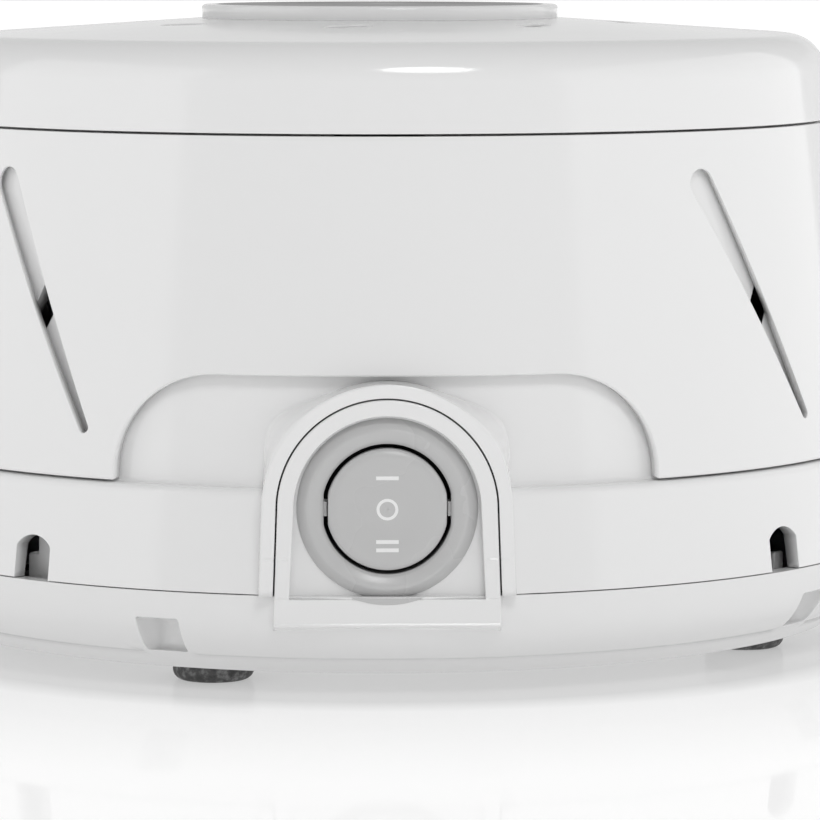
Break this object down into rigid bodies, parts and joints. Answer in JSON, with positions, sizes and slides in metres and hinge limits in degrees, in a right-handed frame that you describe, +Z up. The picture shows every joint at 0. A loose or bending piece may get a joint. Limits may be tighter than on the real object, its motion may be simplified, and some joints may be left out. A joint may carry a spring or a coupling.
{
  "type": "white noise machine",
  "caption": "Round fan-driven white noise machine: slotted collar and vented cap that turn, arched switch panel with a round rocker, vented base on rubber feet.",
  "frame": {"origin": "on the floor, at the middle of the four feet", "axes": "+Z up along the fan shaft; -Y towards the switch"},
  "size_m": [0.142, 0.142, 0.0882],
  "materials": {
    "body_white": "moulded ABS, satin gloss",
    "base_white": "moulded ABS, satin gloss",
    "disc_silver": "bare silver-grey plate with a fine turned finish",
    "switch_grey": "fine matt grey nylon",
    "mark_white": "white paint filled into the marks",
    "nylon_black": "matt black nylon",
    "terminal_brass": "plain brass blades",
    "foot_rubber": "soft dark grey rubber",
    "gland_rubber": "dark grey rubber",
    "screw_steel": "zinc plated",
    "plate_steel": "galvanised sheet",
    "lamination_steel": "stacked electrical steel, edges showing",
    "coil_copper": "enamelled copper",
    "bobbin_nylon": "natural nylon",
    "bracket_aluminium": "pressed aluminium",
    "bearing_bronze": "sintered bronze",
    "shaft_steel": "ground steel",
    "fan_plastic": "moulded polypropylene"
  },
  "bodies": {
    "root": {"base_tray": "base_white", "rubber_foot_1": "foot_rubber", "rubber_foot_2": "foot_rubber", "rubber_foot_3": "foot_rubber", "rubber_foot_4": "foot_rubber", "housing_screws": "screw_steel", "housing": "base_white", "cord_gland": "gland_rubber", "motor_plate": "plate_steel", "plate_screws": "screw_steel", "stator_stack": "lamination_steel", "shading_rings": "coil_copper", "bobbin": "bobbin_nylon", "coil": "coil_copper", "upper_bracket": "bracket_aluminium", "lower_bracket": "bracket_aluminium", "upper_bearing": "bearing_bronze", "lower_bearing": "bearing_bronze", "bracket_screws": "screw_steel", "motor_grommet_1": "foot_rubber", "motor_grommet_2": "foot_rubber", "motor_screws": "screw_steel", "switch_bezel": "switch_grey", "switch_base": "nylon_black", "switch_terminals": "terminal_brass", "lead_connector": "terminal_brass", "motor_lead": "gland_rubber"},
    "collar": {"collar": "body_white"},
    "cap": {"cap": "body_white", "cap_disc": "body_white", "disc_plate": "disc_silver", "cap_pivot_washer": "screw_steel", "cap_pivot_screw": "screw_steel"},
    "rocker": {"rocker": "switch_grey", "rocker_marks": "mark_white"},
    "fan": {"shaft": "shaft_steel", "rotor_core": "lamination_steel", "thrust_washer": "bobbin_nylon", "fan_wheel": "fan_plastic", "fan_clip": "screw_steel"}
  },
  "joints": [
    {"name": "collar_turn", "type": "hinge", "parent": "root", "child": "collar", "pos_m": [0, 0, 0.0495], "axis": [0, 0, 1], "range_deg": [-15, 15]},
    {"name": "cap_turn", "type": "hinge", "parent": "root", "child": "cap", "pos_m": [0, 0, 0.07], "axis": [0, 0, 1], "range_deg": [-20, 20]},
    {"name": "rocker_tilt", "type": "hinge", "parent": "root", "child": "rocker", "pos_m": [0, -0.0676, 0.02485], "axis": [1, 0, 0], "range_deg": [-8, 8]},
    {"name": "fan_spin", "type": "hinge", "parent": "root", "child": "fan", "pos_m": [0, 0, 0.018], "axis": [0, 0, 1], "continuous": true}
  ]
}
